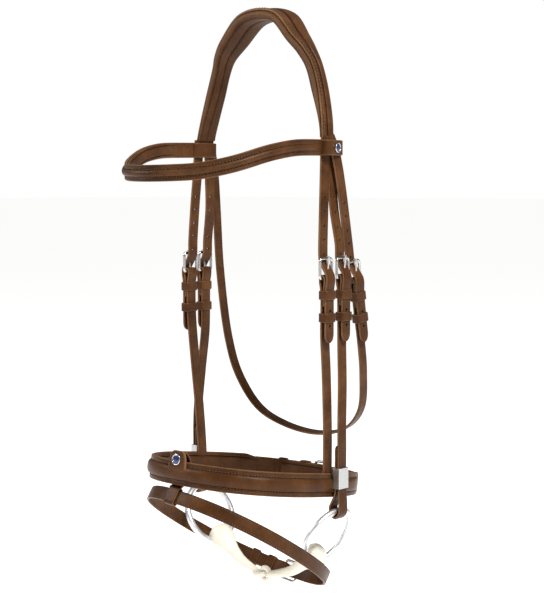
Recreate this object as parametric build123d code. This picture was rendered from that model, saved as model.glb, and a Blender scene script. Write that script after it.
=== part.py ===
from build123d import *
import math
import os

# Snaffle bridle with a flash noseband and a single-jointed loose-ring bit.
# Millimetres. Origin: middle of the poll seat, the inside of the headpiece at its top.
# +Z up, the horse faces -Y, +X is the horse's left, which riders call the near side.

# Driving sizes
STRAP_WIDTH = 11.5
STRAP_THICK = 2.8
FAR_REACH = 300.0
POLL_PAD = 7.8
CROWN_THICK = 3.2
TWIST_PER_MM = 0.002
TWIST_CENTRE_Y = -4.0

BROW_THICK = 3.0
BROW_HEIGHT = 15.5
BROW_Z = -126.0
BROW_DIP = 25.0

BUCKLE_MARGIN = 5.9
BUCKLE_LENGTH = 19.0
BUCKLE_WIRE = 1.4
EYE_OUTER = 4.0
EYE_INNER = 1.7
KEEPER_WALL = 1.8
KEEPER_ROOM = 1.2
KEEPER_HEIGHT = 9.0
FIXED_KEEPER_Z = -15.5
RUNNER_Z = -37.0
TAIL_END_Z = -61.0

HANGER_BAR = (91.0, -16.5, -250.0)
CHEEK_BAR = (92.5, 6.5, -250.0)
THROAT_BAR = (89.5, 29.5, -254.0)
THROAT_LEAN = 9.5

NOSE_HALF_WIDTH = 90.0
NOSE_HALF_LENGTH = 105.0
NOSE_CENTRE_Y = -17.6
NOSE_POWER = 2.5
NOSE_HEIGHT = 23.0
NOSE_REAR_HEIGHT = 17.5
NOSE_TILT = math.degrees(math.atan(0.144))
NOSE_PIVOT = (0.0, -17.0, -449.0)
NOSE_PAD = 4.6

FLASH_HALF_WIDTH = 88.0
FLASH_SHIFT = 4.0
FLASH_FRONT_Y = -123.0
FLASH_REAR_Y = 50.0
FLASH_FRONT_Z = -457.0
FLASH_SLOPE_Y = -0.62
FLASH_SLOPE_X = -0.09
FLASH_WIDTH = 13.5

RING_RADIUS = 30.5
RING_WIRE = 3.25
RING_LEAN = 26.0
RING_TOP = (93.0, 0.0, -476.0)
HOLE_CLEARANCE = 2.8
HEAD_RADIUS = 12.8
BASE_ALIGN = (Align.CENTER, Align.CENTER, Align.MIN)
LINK_CENTRE = (0.0, -5.0, -553.0)
EYE_RADIUS = 6.0
EYE_WIRE = 2.5


# ---------------------------------------------------------------- shape helpers
def offset_curve(points, distance, samples):
    """Curve a distance to the left of the smooth line through the points."""
    line = Spline(*points) if len(points) > 2 else Line(*points)
    moved = []
    for step in range(samples + 1):
        share = step / samples
        place = line @ share
        along = line % share
        moved.append((place.X - along.Y * distance, place.Y + along.X * distance))
    return moved


def smooth(points):
    """Edge through the points: straight for two, a spline for more."""
    if len(points) == 2:
        return Line(*points)
    return Spline(*points)


def ribbon(points, right, left, samples=None):
    """Face that follows a path, from its right-hand offset to its left-hand offset."""
    if samples is None:
        samples = 1 if len(points) == 2 else 2 * len(points)
    side_a = offset_curve(points, right, samples)
    side_b = offset_curve(points, left, samples)
    outline = [smooth(side_a), Line(side_a[-1], side_b[-1]), smooth(side_b), Line(side_b[0], side_a[0])]
    return make_face(outline)


def strap(front_path, side_path, width=STRAP_WIDTH, thickness=STRAP_THICK):
    """Strap whose flat follows one path seen from the front and one seen from the side."""
    front = extrude(Plane.XZ * ribbon(front_path, -thickness / 2, thickness / 2), FAR_REACH, both=True)
    side = extrude(Plane.YZ * ribbon(side_path, -width / 2, width / 2), FAR_REACH, both=True)
    return front & side


def box_between(low, high):
    """Box from its lowest corner to its highest corner."""
    size = [top - bottom for bottom, top in zip(low, high)]
    middle = [(top + bottom) / 2 for bottom, top in zip(low, high)]
    return Pos(*middle) * Box(*size)


def other_side(shape):
    """The same piece on the far side."""
    return mirror(shape, about=Plane.YZ)


def oval_points(half_width, half_length, power, centre_y, start, end, spacing=9.0):
    """Evenly spaced points on an oval, anticlockwise from above; angles from the +X side."""
    dense = 720
    trail = []
    for step in range(dense + 1):
        angle = math.radians(start + (end - start) * step / dense)
        across = math.cos(angle)
        along = math.sin(angle)
        trail.append((
            half_width * math.copysign(abs(across) ** (2 / power), across),
            centre_y + half_length * math.copysign(abs(along) ** (2 / power), along),
        ))
    lengths = [0.0]
    for before, after in zip(trail, trail[1:]):
        lengths.append(lengths[-1] + math.dist(before, after))
    count = max(2, round(lengths[-1] / spacing))
    chosen = []
    reached = 0
    for number in range(count + 1):
        while lengths[reached] < lengths[-1] * number / count - 1e-9:
            reached += 1
        chosen.append(trail[reached])
    return chosen


def save(name, shape):
    """Write one sub-part."""
    export_step(shape, os.path.join("parts", name + ".step"))


# ---------------------------------------------------------------- buckles and keepers
# Buckle pieces are drawn at the buckle's bar: z runs up the billet, x points outwards.
def buckle_frame(width=STRAP_WIDTH):
    """Bent wire frame whose lowest side is the bar."""
    outline = Pos(0, BUCKLE_LENGTH / 2) * RectangleRounded(width + BUCKLE_MARGIN, BUCKLE_LENGTH, 3.0)
    path = Plane.YZ * outline.wire()
    start = path @ 0
    section = Plane(origin=start, z_dir=path % 0) * Circle(BUCKLE_WIRE)
    return sweep(section, path=path, transition=Transition.ROUND)


def buckle_tongue():
    """Tongue that turns on the bar and rests on the frame's top side."""
    root = extrude(Plane.XZ * (Circle(EYE_OUTER - 0.5) - Circle(BUCKLE_WIRE + 0.2)), 1.8, both=True)
    stem_path = [(1.4, 2.2), (1.7, 9.0), (2.8, BUCKLE_LENGTH), (3.0, BUCKLE_LENGTH + 2.6)]
    stem = extrude(Plane.XZ * ribbon(stem_path, -1.1, 1.1), 1.1, both=True)
    return root + stem


def keeper(centre_z, width=STRAP_WIDTH, inner=(-3.4, 6.2)):
    """Leather keeper around a strap and the billet tail on it."""
    depth = inner[1] - inner[0]
    middle = (inner[0] + inner[1]) / 2
    opening = Rectangle(depth, width + KEEPER_ROOM)
    outside = RectangleRounded(depth + 2 * KEEPER_WALL, width + KEEPER_ROOM + 2 * KEEPER_WALL, 1.6)
    ring = extrude(outside - opening, KEEPER_HEIGHT / 2, both=True)
    return Pos(middle, 0, centre_z) * ring


def fold_profile(lap):
    """Section of a strap end folded round the bar and stitched back on itself."""
    doubled = make_face(Polyline(
        (3.7, -1.5), (2.2, -10), (2.2, 3 - lap), (0.6, -lap), (-2.2, -lap), (-2.2, -10), (-3.7, -1.5),
        (3.7, -1.5),
    ))
    return Circle(EYE_OUTER) + doubled


def eye_room(width):
    """Hole for the bar and slot for the tongue, cut from a folded strap end."""
    return Rot(90, 0, 0) * Cylinder(EYE_INNER, width + 2) + box_between((-6, -2.3, -3.7), (6, 2.3, 6))


def strap_eye(width, lap):
    """Folded strap end, ready to sit round the bar."""
    return extrude(Plane.XZ * fold_profile(lap), width / 2, both=True) - eye_room(width)


def tongue_slot():
    """Room for the tongue through the billet, longer than the tongue needs to swing."""
    return box_between((-8, -2.2, 4.0), (12, 2.2, 15.5))


def billet_tail(width=STRAP_WIDTH):
    """Billet end below the bar, lying on the strap inside the keepers."""
    path = [(5.8, 1.2), (5.3, -5), (4.3, -12), (3.95, -21), (3.7, -40), (3.6, TAIL_END_Z)]
    tail = extrude(Plane.XZ * ribbon(path, -STRAP_THICK / 2, STRAP_THICK / 2), width / 2, both=True)
    rounded = Pos(0, (TAIL_END_Z + 40) / 2) * RectangleRounded(width, 40 - TAIL_END_Z, width / 2 - 0.6)
    return tail & extrude(Plane.YZ * rounded, 20, both=True)


def place_at(bar, lean=0.0):
    """Location that carries a buckle drawn at the origin to its bar."""
    return Pos(*bar) * Rot(lean, 0, 0)


def billet_front_path(bar, top_points):
    """Billet seen from the front: down from the headpiece, behind the top side, out over the bar."""
    near_buckle = [(-3.8, 30), (-3.7, 20.5), (-2.9, 16.2), (1.6, 9.2), (5.6, 2.6)]
    return top_points + [(bar[0] + across, bar[2] + up) for across, up in near_buckle]


def holes(shape, bar, lean, count=6, pitch=13.5):
    """Punch a row of tongue holes above the one in use."""
    for number in range(1, count):
        up = 9.5 + pitch * number
        shape -= place_at(bar, lean) * Pos(0, 0, up) * Rot(0, 90, 0) * Cylinder(1.6, 40)
    return shape


# ---------------------------------------------------------------- headpiece
CROWN_PATH = [
    (82.6, -136), (81.8, -117), (79, -96), (72.5, -66), (64.5, -43), (57, -30), (45, -16.5), (24, 4.6),
]
CROWN_TOP = (0, POLL_PAD + 0.2 + CROWN_THICK / 2)
CROWN_FRONT_EDGE = [
    (-16, -137), (-13.6, -117), (-11.2, -97), (-8.4, -67), (-8.4, -45), (-12, -32), (-16, -16), (-15, 16),
]
CROWN_BACK_EDGE = [(7, -137), (6.5, -117), (8.5, -97), (9, -67), (9, -45), (9.5, -32), (15, -14), (22, 16)]


def arch_points(path):
    """Half path mirrored into a whole arch."""
    return path + [CROWN_TOP] + [(-x, z) for x, z in reversed(path)]


def twisted(points, y):
    """Arch narrowed towards the back, because its sides turn in behind the ears."""
    factor = 1 - TWIST_PER_MM * (y - TWIST_CENTRE_Y)
    return [(x * factor, z) for x, z in points]


def arch(points, inner, outer):
    """Arched shell between two offsets, lofted from front to back."""
    faces = []
    for y in (-40.0, 60.0):
        face = ribbon(twisted(points, y), inner, outer)
        faces.append(Plane((0, y, 0), x_dir=(1, 0, 0), z_dir=(0, -1, 0)) * face)
    return loft(faces, ruled=True)


def edge_outline(front, back, grow):
    """Side view between the front and back edges of the headpiece."""
    front = [(y - grow, z) for y, z in front]
    back = [(y + grow, z) for y, z in back]
    outline = [Spline(*front), Line(front[-1], back[-1]), Spline(*back), Line(back[0], front[0])]
    return extrude(Plane.YZ * make_face(outline), FAR_REACH, both=True)


def crown():
    """Headpiece leather with its billets, in one piece, and the pad sewn under it."""
    line = arch_points(CROWN_PATH)
    leather = arch(line, -CROWN_THICK / 2, CROWN_THICK / 2)
    leather &= edge_outline(CROWN_FRONT_EDGE, CROWN_BACK_EDGE, 0)
    pad_inside = CROWN_THICK / 2 + 0.2
    pad = arch(line, pad_inside, pad_inside + POLL_PAD) & edge_outline(CROWN_FRONT_EDGE, CROWN_BACK_EDGE, 1.2)
    pad &= box_between((-FAR_REACH, -FAR_REACH, -74), (FAR_REACH, FAR_REACH, 40))
    hanger_front = billet_front_path(HANGER_BAR, [(84.3, -126), (85.0, -150), (86.2, -180)])
    hanger_side = [(-10.2, -124), (-12.5, -160), (-16, -205), (-16.5, -232), (-16.5, -250)]
    cheek_front = billet_front_path(CHEEK_BAR, [(81.4, -126), (82.0, -150), (83.0, -178), (84.4, -198)])
    cheek_side = [(1.2, -124), (3.0, -160), (6.0, -205), (6.5, -232), (6.5, -250)]
    tails = []
    for bar, front, side in ((HANGER_BAR, hanger_front, hanger_side), (CHEEK_BAR, cheek_front, cheek_side)):
        billet = strap(front, side) - place_at(bar) * tongue_slot()
        tails.append(holes(billet, bar, 0.0))
    for tail in tails:
        leather += tail
        leather += other_side(tail)
    return leather, pad


def throat_billet():
    """Outer billet on the near side that carries the throatlatch."""
    base = place_at(THROAT_BAR, THROAT_LEAN)
    front = billet_front_path(THROAT_BAR, [(87.2, -112), (87.4, -140), (87.6, -170), (87.2, -195)])
    side = [(-1.0, -110), (4.0, -137), (13, -180), (25.8, -232), (29.3, -254)]
    billet = strap(front, side) - base * tongue_slot()
    return holes(billet, THROAT_BAR, THROAT_LEAN)


# ---------------------------------------------------------------- browband
LOOP_PLACE = Pos(82.4, -4, BROW_Z) * Rot(0, 0, 9.4)


def browband_line():
    """Plan of the browband from its far end round the forehead to its near end."""
    return oval_points(89, 112, 2, -50, 162, 378, spacing=20)


def browband_side(low, high):
    """Side view: level beside the temples, dipping on the forehead."""
    path = []
    drops = [
        (40, 0), (-20, 0), (-60, 0.03), (-90, 0.25), (-120, 0.66), (-145, 0.93), (-165, 1.0), (-190, 1.0),
    ]
    for y, drop in drops:
        path.append((y, BROW_Z - BROW_DIP * drop))
    upper = [(y, z + high) for y, z in path]
    lower = [(y, z + low) for y, z in path]
    outline = [Spline(*upper), Line(upper[-1], lower[-1]), Spline(*lower), Line(lower[0], upper[0])]
    return extrude(Plane.YZ * make_face(outline), FAR_REACH, both=True)


def plan_band(points, right, left, low, high):
    """Band standing on a plan path, between two heights."""
    face = Pos(0, 0, low) * ribbon(points, right, left)
    return extrude(face, high - low, dir=(0, 0, 1))


def browband():
    """Browband leather with a loop at each end, and its padded lining."""
    plan = browband_line()
    half = BROW_HEIGHT / 2
    leather = plan_band(plan, -BROW_THICK / 2, BROW_THICK / 2, -190, -90) & browband_side(-half, half)
    pad = plan_band(plan[1:-1], BROW_THICK / 2 + 0.1, BROW_THICK / 2 + 2.6, -190, -90)
    pad &= browband_side(1 - half, half - 1)
    inside = box_between((-2.6, -13.4, -BROW_HEIGHT), (9.2, 12.8, BROW_HEIGHT))
    outside = box_between((-4.6, -15.4, -half), (11.2, 14.8, half))
    room = LOOP_PLACE * inside
    leather -= box_between((70, -14, BROW_Z - 40), (100, 60, BROW_Z + 40))
    leather -= box_between((-100, -14, BROW_Z - 40), (-70, 60, BROW_Z + 40))
    leather += LOOP_PLACE * outside
    leather += other_side(LOOP_PLACE * outside)
    leather = leather - room - other_side(room)
    return leather, pad


def browband_button():
    """Round enamel button with a domed face and a metal rim, on the near loop."""
    disc = Cylinder(4.8, 2.4, align=BASE_ALIGN)
    disc = fillet(disc.edges().sort_by(Axis.Z)[-1], 1.1)
    return LOOP_PLACE * Pos(11.3, 0, 0) * Rot(0, 90, 0) * disc


# ---------------------------------------------------------------- side straps
def hanger():
    """Strap from the hanger buckle down into the noseband."""
    x, y, z = HANGER_BAR
    end = place_at(HANGER_BAR) * strap_eye(STRAP_WIDTH, 26)
    front = [(x - 0.8, z - 24), (x - 2.2, -330), (86.4, -400), (85.0, -436), (84.9, -446)]
    side = [(y, z - 24), (y, -300), (y + 4.0, -345), (y + 8.6, -400), (y + 10.3, -436), (y + 10.5, -446)]
    return end + strap(front, side)


def cheekpiece():
    """Strap from the cheek buckle, round the bit ring and back up to its hook stud."""
    x, y, z = CHEEK_BAR
    end = place_at(CHEEK_BAR) * strap_eye(STRAP_WIDTH, 26)
    front = [
        (x - 0.8, z - 24), (x - 0.6, -296), (x, -314), (95.2, -352), (97.3, -392), (97.9, -412), (97.9, -440),
        (98.5, -457), (99.4, -469), (98.9, -477.5), (93.4, -482.4), (88.0, -477.8), (87.6, -471.8),
        (90.6, -465.9), (94.1, -458), (94.7, -449), (94.7, -430), (94.7, -411),
    ]
    side = [
        (y, z - 24), (y, -300), (y - 1.6, -336), (y - 4.8, -376), (0.1, -404), (0, -418), (0, -440),
        (0, -490),
    ]
    band = extrude(Plane.XZ * ribbon(front, -STRAP_THICK / 2, STRAP_THICK / 2, 60), 60, both=True)
    edge = extrude(Plane.YZ * ribbon(side, -STRAP_WIDTH / 2, STRAP_WIDTH / 2), FAR_REACH, both=True)
    stud_hole = Pos(96.3, 0, -443) * Rot(0, 90, 0) * Cylinder(2.1, 12)
    return end + (band & edge) - stud_hole


def hook_stud():
    """Stud inside the clip that the strap end buttons onto."""
    return Pos(96.3, 0, -443) * Rot(0, 90, 0) * Cylinder(2.0, 5.8)


def box_clip():
    """Metal sleeve that slides down over the hook stud and holds the strap end shut."""
    outside = fillet(box_between((91.8, -7.1, -453), (100.9, 7.1, -433)).edges().filter_by(Axis.Z), 1.0)
    return outside - box_between((92.8, -6.1, -460), (99.9, 6.1, -425))


# ---------------------------------------------------------------- throatlatch
def throatlatch():
    """Strap from the far side of the headpiece, under the jowl, up to the near buckle."""
    x, y, z = THROAT_BAR
    front = [
        (x - 0.9, z - 23), (88.4, -316), (87.2, -347), (79, -384), (56, -406), (20, -415), (-25, -411),
        (-60, -396), (-78, -362), (-84.5, -324), (-87.5, -250), (-87.2, -190), (-87.0, -152),
    ]
    near_path = [(y - 0.6, z - 10), (y + 3.5, z - 24), (y + 11, -313), (48, -360), (58, -405), (60, -440)]
    band = extrude(Plane.XZ * ribbon(front, -STRAP_THICK / 2, STRAP_THICK / 2, 40), FAR_REACH, both=True)
    near_side = extrude(Plane.YZ * ribbon(near_path, -5.5, 5.5), FAR_REACH, dir=(1, 0, 0))
    far_path = [(17, -140), (19, -190), (24, -250), (34, -324), (43, -362), (58, -405), (60, -440)]
    far_side = extrude(Plane.YZ * ribbon(far_path, -5.5, 5.5), -FAR_REACH, dir=(1, 0, 0))
    end = place_at(THROAT_BAR, THROAT_LEAN) * strap_eye(STRAP_WIDTH, 26)
    return end + (band & (near_side + far_side))


# ---------------------------------------------------------------- loops in an inclined plane
# A loop is an oval in its own plane: (half width, half length, power). Angles run anticlockwise
# from above: 0 is the near side, 90 the rear, 180 the far side and 270 the front.
NOSE_PLANE = Plane(Location(NOSE_PIVOT) * Rot(-NOSE_TILT, 0, 0))
NOSE_LOOP = (NOSE_HALF_WIDTH - 1.5, NOSE_HALF_LENGTH - 1.5, NOSE_POWER)
NOSE_BAR_ANGLE = 93.3

FLASH_MIDDLE_Y = (FLASH_FRONT_Y + FLASH_REAR_Y) / 2
FLASH_SPAN = FLASH_REAR_Y - FLASH_FRONT_Y
FLASH_MIDDLE_Z = FLASH_FRONT_Z + FLASH_SLOPE_Y * FLASH_SPAN / 2
FLASH_LOOP = (FLASH_HALF_WIDTH, FLASH_SPAN / 2 * math.hypot(1, FLASH_SLOPE_Y), 2.2)
FLASH_PLANE = Plane(
    origin=(-FLASH_SHIFT, FLASH_MIDDLE_Y, FLASH_MIDDLE_Z - FLASH_SLOPE_X * FLASH_SHIFT),
    x_dir=(1, 0, FLASH_SLOPE_X),
    z_dir=(-FLASH_SLOPE_X, -FLASH_SLOPE_Y, 1),
)
FLASH_BAR_ANGLE = 97.0
TAIL_LIFT = 5.8


def loop_line(loop, start, end, spacing=9.0):
    """Points along a loop's strap centre line."""
    return oval_points(*loop, 0, start, end, spacing)


def loop_spot(loop, angle):
    """Frame on a loop: x outwards, z back along the strap towards a smaller angle."""
    before, after = oval_points(*loop, 0, angle - 0.5, angle + 0.5, 100)[::2]
    spot = oval_points(*loop, 0, angle, angle + 0.5, 100)[0]
    along = Vector(after[0] - before[0], after[1] - before[1], 0).normalized()
    return Plane(origin=(spot[0], spot[1], 0), x_dir=(along.Y, -along.X, 0), z_dir=(-along.X, -along.Y, 0))


def bar_spot(loop, angle):
    """Frame of a buckle bar on a loop; the strap runs just inside the bar's middle."""
    spot = loop_spot(loop, angle)
    spot.origin = spot.origin + spot.x_dir * 0.8
    return spot


def wrap_points(loop, bar_angle, tail_angle):
    """The billet's way out through the buckle and on over the strap beyond it."""
    bar = bar_spot(loop, bar_angle)
    through = []
    for across, along in ((-3.8, 21), (-3.0, 16.5), (1.4, 9.5), (5.2, 2)):
        spot = bar.origin + bar.x_dir * across + bar.z_dir * along
        through.append((spot.X, spot.Y))
    half_width, half_length, power = loop
    lifted = (half_width + TAIL_LIFT, half_length + TAIL_LIFT, power)
    return through + oval_points(*lifted, 0, bar_angle + 5, tail_angle, 10.0)


def loop_strap(loop, bar_angle, approach_angle, tail_angle, height):
    """Whole loop: from its folded eye, once round, through the buckle and over itself."""
    line = loop_line(loop, bar_angle + 4, approach_angle) + wrap_points(loop, bar_angle, tail_angle)
    band = extrude(ribbon(line, -STRAP_THICK / 2, STRAP_THICK / 2), height / 2, both=True)
    place = bar_spot(loop, bar_angle).location
    return place * strap_eye(height, 16) + band - place * tongue_slot()


def loop_buckle(plane, loop, bar_angle, keeper_angles, height):
    """Frame, tongue and two keepers of a loop's buckle."""
    place = plane.location * bar_spot(loop, bar_angle).location
    pieces = [place * buckle_frame(height), place * buckle_tongue()]
    for angle in keeper_angles:
        spot = plane.location * bar_spot(loop, angle).location
        pieces.append(spot * keeper(0, height, (-3.2, 7.4)))
    return pieces


# ---------------------------------------------------------------- noseband
def noseband():
    """Noseband leather, its padded lining and the pad behind the rear buckle."""
    leather = loop_strap(NOSE_LOOP, NOSE_BAR_ANGLE, 437, NOSE_BAR_ANGLE + 52, NOSE_REAR_HEIGHT)
    front_line = loop_line(NOSE_LOOP, 136, 404)
    leather += extrude(ribbon(front_line, -1.5, 1.5), NOSE_HEIGHT / 2, both=True)
    pad = extrude(ribbon(front_line, 1.7, 1.7 + NOSE_PAD), NOSE_HEIGHT / 2 - 0.3, both=True)
    pocket = box_between((83.0, 2, 3.5), (87.0, 20, 20))
    jaw = extrude(ribbon(loop_line(NOSE_LOOP, 74, 116), 5.2, 9.0), NOSE_REAR_HEIGHT / 2 - 0.5, both=True)
    pad = pad - pocket - other_side(pocket)
    return [NOSE_PLANE.location * shape for shape in (leather, pad, jaw)]


def flash_tab():
    """Leather tab round the front of the noseband whose lower loop carries the flash strap."""
    face = -NOSE_HALF_LENGTH
    wrap = box_between((-9, face - 3.0, -15.2), (9, face + 12.2, 11.0))
    wrap -= box_between((-20, face - 0.5, -12.4), (20, face + 9.4, 20))
    front = make_face(Polyline((-11, -15.2), (11, -15.2), (11, 8), (8, 20), (-8, 20), (-11, 8), (-11, -15.2)))
    front = fillet(front.vertices().group_by(Axis.Y)[-1], 4)
    plate = extrude(Plane((0, face - 0.4, 0), x_dir=(1, 0, 0), z_dir=(0, -1, 0)) * front, 2.6)
    upper = NOSE_PLANE.location * (wrap + plate)
    reach = FLASH_LOOP[1]
    half = FLASH_WIDTH / 2
    lower = box_between((-8.5, -reach - 4.4, -half - 2.6), (8.5, -reach + 4.6, half + 2.4))
    lower -= box_between((-20, -reach - 2.2, -half - 0.7), (20, -reach + 2.4, half + 0.7))
    return upper + FLASH_PLANE.location * Pos(FLASH_SHIFT, 0, 0) * lower


def flash_button():
    """Round enamel button with a domed face and a metal rim, on the flash tab."""
    disc = Cylinder(5.5, 2.6, align=BASE_ALIGN)
    disc = fillet(disc.edges().sort_by(Axis.Z)[-1], 1.2)
    return NOSE_PLANE.location * Pos(0, -NOSE_HALF_LENGTH - 3.0, 13) * Rot(90, 0, 0) * disc


def flash_strap():
    """Flash strap: under the noseband in front, below the bit and round the chin groove."""
    return FLASH_PLANE.location * loop_strap(FLASH_LOOP, FLASH_BAR_ANGLE, 436, 135, FLASH_WIDTH)


# ---------------------------------------------------------------- bit
LEAN = math.radians(RING_LEAN)
RING_CENTRE = (
    RING_TOP[0] - RING_RADIUS * math.sin(LEAN), 0.0, RING_TOP[2] - RING_RADIUS * math.cos(LEAN)
)
RING_BOTTOM = (
    RING_CENTRE[0] - RING_RADIUS * math.sin(LEAN), 0.0, RING_CENTRE[2] - RING_RADIUS * math.cos(LEAN)
)
RING_PLANE = Plane(origin=RING_CENTRE, x_dir=(0, 1, 0), z_dir=(math.cos(LEAN), 0, -math.sin(LEAN)))


def bit_ring(wire=RING_WIRE):
    """Loose ring of round wire."""
    return RING_PLANE.location * Torus(RING_RADIUS, wire)


def cannon(eye_turn):
    """Half of the mouthpiece, thick at the ring and ending in an eye; drawn on the near side."""
    head_centre = Vector(RING_BOTTOM[0] - 4.5, 0, RING_BOTTOM[2] + 4.0)
    head = Pos(*head_centre) * Sphere(HEAD_RADIUS)
    link = Vector(*LINK_CENTRE)
    eye_centre = link + Vector(EYE_RADIUS / 2, 0, 0)
    neck_end = link + Vector(EYE_RADIUS * 1.5 - 0.6, 0, 0.6)
    run = neck_end - head_centre
    bar = Plane(origin=head_centre, z_dir=run) * Cone(9.6, 3.4, run.length, align=BASE_ALIGN)
    eye = Pos(*eye_centre) * Rot(eye_turn, 0, 0) * Torus(EYE_RADIUS, EYE_WIRE)
    return head + bar + eye - bit_ring(RING_WIRE + HOLE_CLEARANCE)


# ---------------------------------------------------------------- writing the sub-parts
def save_pair(name, shape):
    """Write a piece for the near side and its mirror image for the far side."""
    save("near_" + name, shape)
    save("far_" + name, other_side(shape))


def save_buckle(name, pieces, pair=False):
    """Write the pieces of one buckle."""
    for part, shape in zip(("buckle_frame", "buckle_tongue", "fixed_keeper", "runner_keeper"), pieces):
        if pair:
            save_pair(name + "_" + part, shape)
        else:
            save(name + "_" + part, shape)


def straight_buckle(bar, lean=0.0):
    """Pieces of a buckle on a straight strap."""
    place = place_at(bar, lean)
    shapes = (buckle_frame(), buckle_tongue(), keeper(FIXED_KEEPER_Z), keeper(RUNNER_Z))
    return [place * shape for shape in shapes]


def main():
    """Build every sub-part and write it."""
    os.makedirs("parts", exist_ok=True)
    crown_leather, crown_pad = crown()
    save("headpiece_leather", crown_leather)
    save("headpiece_pad", crown_pad)
    save("throat_billet", throat_billet())
    browband_leather, browband_pad = browband()
    save("browband_leather", browband_leather)
    save("browband_pad", browband_pad)
    save_pair("browband_button", browband_button())
    tail = billet_tail()
    save_pair("hanger_strap", hanger())
    save_pair("hanger_billet_end", place_at(HANGER_BAR) * tail)
    save_buckle("hanger", straight_buckle(HANGER_BAR), pair=True)
    save_pair("cheekpiece", cheekpiece())
    save_pair("cheek_billet_end", place_at(CHEEK_BAR) * tail)
    save_buckle("cheek", straight_buckle(CHEEK_BAR), pair=True)
    save_pair("hook_stud", hook_stud())
    save_pair("box_clip", box_clip())
    save("throatlatch", throatlatch())
    save("throat_billet_end", place_at(THROAT_BAR, THROAT_LEAN) * tail)
    save_buckle("throat", straight_buckle(THROAT_BAR, THROAT_LEAN))
    nose_leather, nose_pad, jaw_pad = noseband()
    save("noseband_leather", nose_leather)
    save("noseband_pad", nose_pad)
    save("jaw_pad", jaw_pad)
    save_buckle("noseband", loop_buckle(NOSE_PLANE, NOSE_LOOP, NOSE_BAR_ANGLE, (101, 117), NOSE_REAR_HEIGHT))
    save("flash_tab", flash_tab())
    save("flash_button", flash_button())
    save("flash_strap", flash_strap())
    save_buckle("flash", loop_buckle(FLASH_PLANE, FLASH_LOOP, FLASH_BAR_ANGLE, (107, 119), FLASH_WIDTH))
    save_pair("bit_ring", bit_ring())
    save("near_mouthpiece", cannon(90))
    save("far_mouthpiece", other_side(cannon(0)))


main()
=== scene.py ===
import functools
import math

import bpy
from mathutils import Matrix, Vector


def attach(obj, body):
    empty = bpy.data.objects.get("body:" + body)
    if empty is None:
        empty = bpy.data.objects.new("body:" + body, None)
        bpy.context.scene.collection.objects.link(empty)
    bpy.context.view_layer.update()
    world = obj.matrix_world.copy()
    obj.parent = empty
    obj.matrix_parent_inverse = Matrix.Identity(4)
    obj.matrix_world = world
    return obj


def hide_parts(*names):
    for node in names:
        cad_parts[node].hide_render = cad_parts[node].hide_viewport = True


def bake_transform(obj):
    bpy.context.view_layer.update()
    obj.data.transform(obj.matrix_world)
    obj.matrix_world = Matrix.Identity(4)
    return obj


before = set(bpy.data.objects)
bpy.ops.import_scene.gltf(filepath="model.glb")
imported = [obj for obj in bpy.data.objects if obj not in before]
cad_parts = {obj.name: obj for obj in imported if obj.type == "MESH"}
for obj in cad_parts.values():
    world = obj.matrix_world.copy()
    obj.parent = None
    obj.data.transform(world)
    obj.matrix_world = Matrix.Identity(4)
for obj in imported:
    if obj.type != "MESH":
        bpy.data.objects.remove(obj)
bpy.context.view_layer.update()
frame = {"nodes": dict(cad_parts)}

# Lengths are millimetres in the tables below and metres in every mesh.
MM = 0.001
STRAP_WIDTH = 12.2
STRAP_THICK = 2.6
THIN_STRAP = 2.3
THROAT_WIDTH = 11.0
BUCKLE_LAP = 26.0
TAIL_END = -61.0
HOLE_PITCH = 13.5
HOLE_RADIUS = 1.6
SHARP_ANGLE = math.radians(52)
METAL_SHARP_ANGLE = math.radians(40)

HANGER_BAR = (91.0, -16.5, -250.0)
CHEEK_BAR = (92.5, 6.5, -250.0)
THROAT_BAR = (89.5, 29.5, -254.0)
THROAT_LEAN = 9.5

CROWN_THICK = 3.2
POLL_PAD = 7.8
PAD_LOW_Z = -116.0
PAD_FULL_Z = -62.0
TWIST_PER_MM = 0.002
TWIST_CENTRE_Y = -4.0

BROW_Z = -126.0
BROW_DIP = 25.0
BROW_HEIGHT = 15.5
BROW_HALF_WIDTH = 89
BROW_REACH = 112
BROW_CENTRE_Y = -50
BROW_LOOP_CENTRE = (82.4, -4.0, -126.0)
BROW_LOOP_TURN = 9.4

NOSE_TILT = math.atan(0.144)
NOSE_LOOP = (88.5, 103.5, 2.5)
NOSE_HEIGHT = 23.0
NOSE_REAR_HEIGHT = 17.5
NOSE_BAR_ANGLE = 93.3
NOSE_FRONT_SPAN = (136, 404)

FLASH_WIDTH = 13.5
FLASH_FRONT_Y = -123.0
FLASH_REAR_Y = 50.0
FLASH_FRONT_Z = -457.0
FLASH_SLOPE_Y = -0.62
FLASH_SLOPE_X = -0.09
FLASH_SHIFT = 4.0
FLASH_HALF_WIDTH = 88.0
FLASH_BAR_ANGLE = 97.0

RING_RADIUS = 30.5
RING_WIRE = 3.25
RING_ROOM = 1.4
RING_LEAN = math.radians(26.0)
RING_TOP = (93.0, 0.0, -476.0)
LINK_CENTRE = (0.0, -5.0, -553.0)


# ---------------------------------------------------------------- camera, lights and floor
VIEW_AZIMUTH = math.radians(42)
VIEW_DISTANCE = 1470
VIEW_SIDE = 5.5
CAMERA_Z = -161
TARGET_Z = -276
LONG_SIDE_PIXELS = 600
FILL_STRENGTH = 0.21
KEY_SIZE = 0.36
KEY_POWER = 50
LEFT_SIZE = 0.5
LEFT_POWER = 13
FLOOR_Z = -0.62
FLOOR_REACH = 40
FLOOR_GLOW = 0.8


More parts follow.
